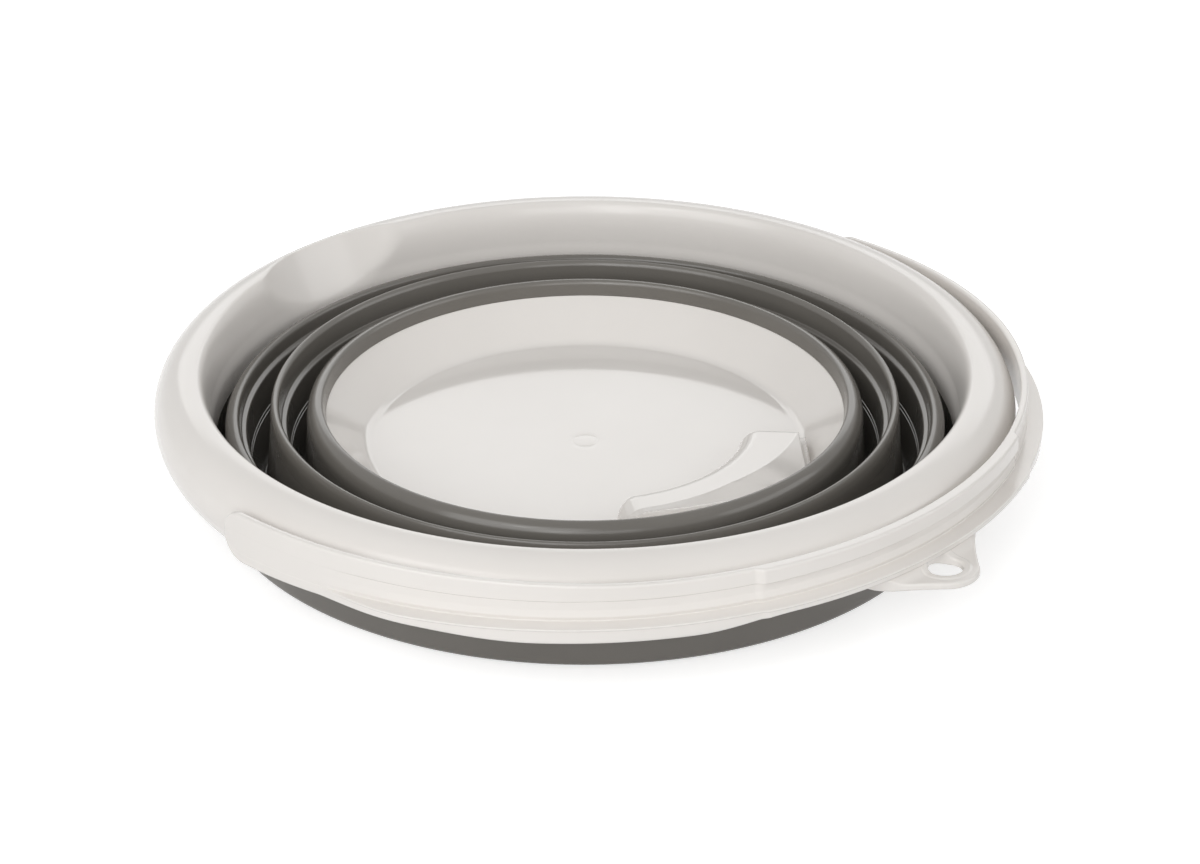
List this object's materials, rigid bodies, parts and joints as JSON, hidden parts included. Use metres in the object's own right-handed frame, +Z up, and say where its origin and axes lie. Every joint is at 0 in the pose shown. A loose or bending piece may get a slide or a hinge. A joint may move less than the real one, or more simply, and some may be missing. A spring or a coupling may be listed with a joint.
{
  "type": "collapsible bucket",
  "caption": "Round collapsible bucket folded flat: rigid rim with pouring lip and swinging bail handle, soft folding wall and rigid base dish.",
  "frame": {"origin": "on the bucket's axis, at the underside of the base's centre foot, on the ground it stands on", "axes": "+Z up along the bucket's axis, X along the handle's pivots, +Y towards the pouring lip"},
  "size_m": [0.3228, 0.3391, 0.05],
  "materials": {
    "hard_white": "glossy moulded polypropylene, warm white",
    "soft_grey": "satin thermoplastic elastomer, warm mid grey"
  },
  "bodies": {
    "base": {"base_foot": "hard_white", "base_dish": "hard_white", "base_collar": "soft_grey", "flip_band_inner": "soft_grey"},
    "ring_inner": {"ridge_ring_inner": "soft_grey", "flip_band_middle": "soft_grey"},
    "ring_outer": {"ridge_ring_outer": "soft_grey", "flip_band_outer": "soft_grey"},
    "rim": {"upper_wall": "soft_grey", "rim_ring": "hard_white"},
    "handle": {"bail_handle": "hard_white"}
  },
  "joints": [
    {"name": "inner_fold_slide", "type": "slide", "parent": "base", "child": "ring_inner", "axis": [0, 0, 1], "range_m": [0, 0.058], "deforming": ["flip_band_inner"]},
    {"name": "middle_fold_slide", "type": "slide", "parent": "ring_inner", "child": "ring_outer", "axis": [0, 0, 1], "range_m": [0, 0.06], "deforming": ["flip_band_middle"]},
    {"name": "outer_fold_slide", "type": "slide", "parent": "ring_outer", "child": "rim", "axis": [0, 0, 1], "range_m": [0, 0.052], "deforming": ["flip_band_outer"]},
    {"name": "handle_swing", "type": "hinge", "parent": "rim", "child": "handle", "pos_m": [0, 0, 0.0346], "axis": [-1, 0, 0], "range_deg": [0, 176]}
  ]
}
